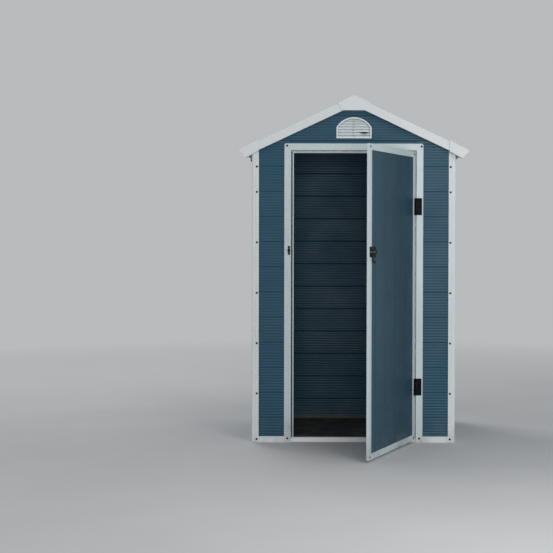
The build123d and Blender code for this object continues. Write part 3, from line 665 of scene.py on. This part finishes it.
def vent_slats():
    """The slats, one of them twisted open on its right half."""
    low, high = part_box("gable_vent")
    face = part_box("front_gable")[0].y
    bm = bmesh.new()
    for n in range(int((high.z - low.z) / SLAT_PITCH)):
        xs = [low.x, high.x]
        if n == TWISTED_SLAT:
            start = TWIST_MIDDLE - TWIST_HALF
            xs[1:1] = [start + 2 * TWIST_HALF * k / TWIST_STEPS for k in range(TWIST_STEPS + 1)]
        rings = []
        for x in xs:
            away = min(1.0, abs(x - TWIST_MIDDLE) / TWIST_HALF)
            open_by = TWIST * (1 + cos(pi * away)) / 2 if n == TWISTED_SLAT else 0
            section = slat_section(face, low.z + SLAT_FIRST + n * SLAT_PITCH, SLAT_LEAN - open_by)
            rings.append([bm.verts.new((x, y, z)) for y, z in section])
        close_tube(bm, rings)
    made = piece_from(bm, "gable_vent_slats", vent_tinted_lit_white, "shed")
    carved(made, vent_prism(VENT_FRAME - SLAT_LAP, face - SLAT_PROUD, high.y),
           operation="INTERSECT")
    smooth(made, 40)
    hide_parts("gable_vent")


def vent_rib():
    """The upright rib in the middle of the slats, rounded in front."""
    low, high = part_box("gable_vent")
    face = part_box("front_gable")[0].y
    rib = box_mesh((-VENT_RIB / 2, face, low.z + VENT_INSET),
                   (VENT_RIB / 2, high.y, high.z - VENT_INSET))
    front = [e for e in rib.edges if all(v.co.y < (face + high.y) / 2 for v in e.verts)
             and abs(e.verts[0].co.z - e.verts[1].co.z) > VENT_RIB]
    bmesh.ops.bevel(rib, geom=front, offset=VENT_RIB / 4, segments=3, profile=0.5, affect="EDGES")
    made = piece_from(rib, "gable_vent_rib", vent_tinted_lit_white, "shed")
    smooth(made, 40)
    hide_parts("gable_vent")


def planked_gable():
    """The gable's sheet, with the vent's hole and a notch each side above the front walls."""
    low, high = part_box("front_gable")
    side_low, side_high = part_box("front_wall_right")
    made = piece_from(wall_sheet("front_gable", roof_planes()), "front_gable_planks", wall_blue,
                      "shed")
    front, back, foot = low.y - CUT_SPARE, high.y + CUT_SPARE, low.z - CUT_SPARE
    notches = [box_mesh((side_low.x, front, foot), (high.x + CUT_SPARE, back, side_high.z)),
               box_mesh((low.x - CUT_SPARE, front, foot), (-side_low.x, back, side_high.z))]
    carved(made, vent_prism(VENT_INSET, front, back), *notches)
    smooth(made)
    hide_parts("front_gable")


def planked_door():
    """The leaf's panel, with upright planks, turned to where the door stands."""
    low, high = leaf_box("door_panel")
    free_edge = leaf_box("door_stile_free")[0].x

    def place(u, v, w):
        return Vector((v, w, u))

    bm = ribbed_sheet((low.z, high.z), (low.x, high.x), low.y, high.y, free_edge + DOOR_JOINT,
                      place, DOOR_SEAM)
    bmesh.ops.transform(bm, matrix=LEAF, verts=bm.verts)
    made = piece_from(bm, "door_panel_planks", door_shaded_blue, "door")
    smooth(made)
    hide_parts("door_panel")


def planked_roof(side, node):
    """One roof panel, with planks that run down the slope."""
    low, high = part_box(node)
    points = [v.co for v in frame["nodes"][node].data.vertices]
    down = Vector((side * cos(PITCH), 0, -sin(PITCH)))
    out = Vector((side * sin(PITCH), 0, cos(PITCH)))
    ridge = Vector((0, 0, high.z))
    depths = [(p - ridge).dot(out) for p in points]
    runs = [(p - ridge).dot(down) for p in points]

    def place(u, v, w):
        return ridge + down * u + out * w + Vector((0, v, 0))

    bm = ribbed_sheet((min(runs) - RIDGE_SPARE, max(runs)), (low.y, high.y), max(depths),
                      min(depths), 0.0, place)
    trim(bm, Vector((0, 0, 0)), Vector((-side, 0, 0)))
    made = piece_from(bm, node + "_planks", roof_grey, "shed")
    smooth(made)
    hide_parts(node)


# Screws
def cross_radius(angle, radius):
    """Distance from the middle to the outline of the cross recess."""
    turn = angle % (pi / 2)
    turn = min(turn, pi / 2 - turn)
    if turn > CROSS_CORNER:
        return radius * CROSS_WIDTH / sin(turn)
    return radius * CROSS_REACH / cos(turn)


def add_screw(bm, matrix, radius):
    """A pan head with a cross recess, its seat on the matrix's XY plane."""
    angles = [2 * pi * k / SCREW_SIDES for k in range(SCREW_SIDES)]
    rings = [[(radius * r * cos(a), radius * r * sin(a), SCREW_H * h) for a in angles]
             for r, h in SCREW_RINGS]
    reach = [cross_radius(a, radius) for a in angles]
    cross = [(r * cos(a), r * sin(a)) for r, a in zip(reach, angles)]
    rings.append([(x, y, SCREW_H) for x, y in cross])
    rings.append([(x * CROSS_TAPER, y * CROSS_TAPER, SCREW_H - CROSS_DEPTH) for x, y in cross])
    made = [[bm.verts.new(matrix @ Vector(p)) for p in ring] for ring in rings]
    for lower, upper in zip(made, made[1:]):
        for k in range(SCREW_SIDES):
            after = (k + 1) % SCREW_SIDES
            bm.faces.new((lower[k], lower[after], upper[after], upper[k]))
    bm.faces.new(list(reversed(made[0])))
    bm.faces.new(made[-1])


def facing(point, outward, turn):
    """A matrix at a point, with its Z axis outward and turned about that."""
    turned = Vector(outward).to_track_quat("Z", "Y").to_matrix().to_4x4()
    return Matrix.Translation(point) @ turned @ Matrix.Rotation(turn, 4, "Z")


def screw_piece(name, places, body, radius=SCREW_R, before=None):
    """Screws at pairs of a point and an outward direction, which the matrix before moves."""
    bm = bmesh.new()
    for k, (point, outward) in enumerate(places):
        matrix = facing(point, outward, SCREW_TURN * k)
        add_screw(bm, before @ matrix if before else matrix, radius)
    smooth(piece_from(bm, name, metal_black, body))


def post_screws():
    heights = [FIRST_JOINT + n * PLANK - POST_SCREW_UNDER for n in POST_SCREW_JOINTS]
    heights.append(POST_FOOT_SCREW_H)
    places = []
    for node in ("front_left", "front_right", "back_left", "back_right"):
        low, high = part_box("corner_post_" + node)
        side = 1 if low.x > 0 else -1
        way = 1 if low.y > 0 else -1
        outer = Vector((side * max(abs(low.x), abs(high.x)), way * max(abs(low.y), abs(high.y))))
        for height in heights:
            places.append((Vector((outer.x - side * POST_SCREW_IN, outer.y, height)), (0, way, 0)))
            places.append((Vector((outer.x, outer.y - way * POST_SCREW_IN, height)), (side, 0, 0)))
    screw_piece("post_screws", places, "shed")


def frame_screws():
    low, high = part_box("door_frame_left")
    places = []
    for side in (-1, 1):
        top_in, under = FRAME_SCREW_IN[side]
        for inward, height in ((top_in, high.z - under),
                               (FRAME_FOOT_SCREW_IN, FRAME_FOOT_SCREW_H)):
            places.append((Vector((side * (-low.x - inward), low.y, height)), (0, -1, 0)))
    screw_piece("frame_screws", places, "shed")


def leaf_screws():
    """One at each corner of the leaf, on both faces."""
    low, high = leaf_box("door_stile_free")
    right = leaf_box("door_stile_hinge")[1].x
    places = []
    for x in (low.x + LEAF_SCREW_IN, right - LEAF_SCREW_IN):
        for z in (low.z + LEAF_SCREW_IN, high.z - LEAF_SCREW_IN):
            places.append((Vector((x, low.y, z)), (0, -1, 0)))
            places.append((Vector((x, high.y, z)), (0, 1, 0)))
    screw_piece("leaf_screws", places, "door", before=LEAF)


def hinge_screws():
    """A column of three in each plate of both hinges."""
    low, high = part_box("hinge_jamb_leaves")
    middles = (low.z + HINGE_H / 2, high.z - HINGE_H / 2)
    heights = [middle + row for middle in middles for row in HINGE_SCREW_ROWS]
    x = (PIN.x + HINGE_EDGE + high.x) / 2
    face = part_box("door_frame_right")[0].y - HINGE_PLATE
    screw_piece("hinge_jamb_screws", [(Vector((x, face, z)), (0, -1, 0)) for z in heights], "shed",
                HINGE_SCREW_R)
    x = (PIN.x - HINGE_EDGE + leaf_box("hinge_door_leaves")[0].x) / 2
    face = leaf_box("door_stile_hinge")[0].y - HINGE_PLATE
    screw_piece("hinge_door_screws", [(Vector((x, face, z)), (0, -1, 0)) for z in heights], "door",
                HINGE_SCREW_R, LEAF)


def latch_screws():
    """At the corners of the latch's plate and in the keeper's ears."""
    low, high = leaf_box("door_latch")
    face = leaf_box("door_stile_free")[0].y - LATCH_PLATE_T
    foot = high.z - LATCH_PLATE[1]
    places = [(Vector((x, face, z)), (0, -1, 0))
              for x in (low.x + LATCH_SCREW_IN[0], low.x + LATCH_PLATE[0] - LATCH_SCREW_IN[0])
              for z in (foot + LATCH_SCREW_IN[1], high.z - LATCH_SCREW_IN[1])]
    screw_piece("latch_screws", places, "door", HINGE_SCREW_R, LEAF)
    low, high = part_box("latch_keeper")
    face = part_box("door_frame_left")[0].y - KEEPER_T
    places = [(Vector(((low.x + high.x) / 2, face, z)), (0, -1, 0))
              for z in (low.z + KEEPER_EAR_R, high.z - KEEPER_EAR_R)]
    screw_piece("keeper_screws", places, "shed", SMALL_SCREW_R)


def door_seals():
    """The bulbs in the frame's stop: dark where the leaf shuts, pale over it and at its hinges."""
    low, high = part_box("door_frame_left")
    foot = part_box("door_sill")[1].z
    stop = low.y + STOP_BACK
    inner, outer = FLANGE_W + SEAL_PLAY, FLANGE_W + SEAL_W - SEAL_PLAY
    middle, half = (inner + outer) / 2, (outer - inner) / 2
    for name, finish, slot, proud, corners in (
            ("door_seal_left", seal_dark_and_shade, "floor_resin", SEAL_PROUD, ((-1, foot), (-1, None))),
            ("door_seal_right", seal_pale, "white_resin", HINGE_SEAL_PROUD,
             ((-1, None), (1, None), (1, foot)))):
        section = [(inner, stop + SEAL_D - SEAL_PLAY), (inner, stop)]
        for k in range(1, SEAL_STEPS):
            turn = pi * k / SEAL_STEPS
            section.append((middle - half * cos(turn), stop - proud * sin(turn)))
        section += [(outer, stop), (outer, stop + SEAL_D - SEAL_PLAY)]
        bm = bmesh.new()
        rings = [[bm.verts.new((side * (-low.x - reach), y, high.z - reach if at is None else at))
                  for reach, y in section] for side, at in corners]
        close_tube(bm, rings)
        smooth(piece_from(bm, name, finish, "shed"))


# Camera, lights and stage
def camera():
    data = bpy.data.cameras.new("camera")
    data.sensor_width = SENSOR
    data.lens = FOCAL / IMAGE * SENSOR
    data.shift_x = (IMAGE / 2 - MIDDLE[0]) / IMAGE
    data.shift_y = (MIDDLE[1] - IMAGE / 2) / IMAGE
    made = bpy.data.objects.new("camera", data)
    made.location = CAMERA
    made.rotation_euler = (pi / 2 - LOOKS_DOWN, -LEFT_RAISED, -TURNED_RIGHT)
    bpy.context.scene.collection.objects.link(made)
    bpy.context.scene.camera = made


def lamp(name, place, target, size, power):
    """A square lamp at a place, turned to a target, with its width and its watts."""
    data = bpy.data.lights.new(name, "AREA")
    data.shape = "SQUARE"
    data.size = size
    data.energy = power
    made = bpy.data.objects.new(name, data)
    made.location = place
    made.rotation_euler = (Vector(target) - Vector(place)).to_track_quat("-Z", "Y").to_euler()
    bpy.context.scene.collection.objects.link(made)


def pale_where_seen(tree, lit, seen):
    """Mixes two shaders, so that camera, glossy and transmission rays meet the pale one."""
    rays = tree.nodes.new("ShaderNodeLightPath")
    both = None
    for name in ("Is Camera Ray", "Is Glossy Ray", "Is Transmission Ray"):
        if both is None:
            both = rays.outputs[name]
            continue
        most = tree.nodes.new("ShaderNodeMath")
        most.operation = "MAXIMUM"
        tree.links.new(both, most.inputs[0])
        tree.links.new(rays.outputs[name], most.inputs[1])
        both = most.outputs[0]
    mixed = tree.nodes.new("ShaderNodeMixShader")
    tree.links.new(both, mixed.inputs[0])
    tree.links.new(lit, mixed.inputs[1])
    tree.links.new(seen, mixed.inputs[2])
    return mixed.outputs[0]


BACKDROP = (0.49, 0.495, 0.505, 1)
STAGE_DARK = (0.52, 0.52, 0.52, 1)
STAGE_PALE = (0.555, 0.555, 0.555, 1)
STAGE_CLOUDS = 1.5
STAGE_ROUGH = 0.9
STAGE_HALF = 20.0
SKY = (0.90, 0.95, 1.0, 1)
SKY_STRENGTH = 0.42
FADE_START, FADE_END = 1.6, 6.5  # how far out the floor turns into the backdrop


def surroundings():
    world = bpy.data.worlds.new("studio")
    world.use_nodes = True
    tree = world.node_tree
    lit = tree.nodes["Background"]
    lit.inputs["Color"].default_value = SKY
    lit.inputs["Strength"].default_value = SKY_STRENGTH
    seen = tree.nodes.new("ShaderNodeBackground")
    seen.inputs["Color"].default_value = BACKDROP
    seen.inputs["Strength"].default_value = 1.0
    tree.links.new(pale_where_seen(tree, lit.outputs[0], seen.outputs[0]),
                   tree.nodes["World Output"].inputs["Surface"])
    bpy.context.scene.world = world


def stage_floor():
    made = Nodes("stage")
    tone = made.mixed(made.spread(made.noise(STAGE_CLOUDS)), STAGE_DARK, STAGE_PALE)
    made.link(tone, made.shader.inputs["Base Color"])
    made.shader.inputs["Roughness"].default_value = STAGE_ROUGH
    far = made.add("ShaderNodeVectorMath", {0: made.place}, operation="LENGTH").outputs["Value"]
    backdrop = made.add("ShaderNodeEmission", {"Color": BACKDROP})
    faded = made.add("ShaderNodeMixShader", {0: made.spread(far, start=FADE_START, end=FADE_END),
                                             1: made.shader.outputs[0], 2: backdrop.outputs[0]})
    made.link(pale_where_seen(made.tree, made.shader.outputs[0], faded.outputs[0]),
              made.tree.nodes["Material Output"].inputs["Surface"])
    bm = bmesh.new()
    bmesh.ops.create_grid(bm, x_segments=1, y_segments=1, size=STAGE_HALF)
    mesh = bpy.data.meshes.new("floor")
    bm.to_mesh(mesh)
    bm.free()
    mesh.materials.append(made.material)
    floor_plane = bpy.data.objects.new("stage_floor", mesh)
    bpy.context.scene.collection.objects.link(floor_plane)


finish_cad_nodes()
planked_walls()
planked_gable()
vent_border()
vent_slats()
vent_rib()
planked_door()
planked_roof(1, "roof_panel_right")
planked_roof(-1, "roof_panel_left")
door_seals()
post_screws()
frame_screws()
leaf_screws()
hinge_screws()
latch_screws()

camera()
surroundings()
stage_floor()
lamp("key", (2.2, -3.9, 3.1), (0.1, -0.3, 1.0), 2.0, 32)
lamp("fill", (1.2, -3.6, 1.6), (0, -0.3, 0.9), 1.4, 26)
lamp("front", (0.1, -6.5, 1.3), (0, -0.3, 0.7), 2.0, 62)
lamp("back", (-2.4, 3.4, 4.2), (0, 0.3, 1.0), 2.5, 90)
bpy.context.scene.view_settings.view_transform = "Standard"
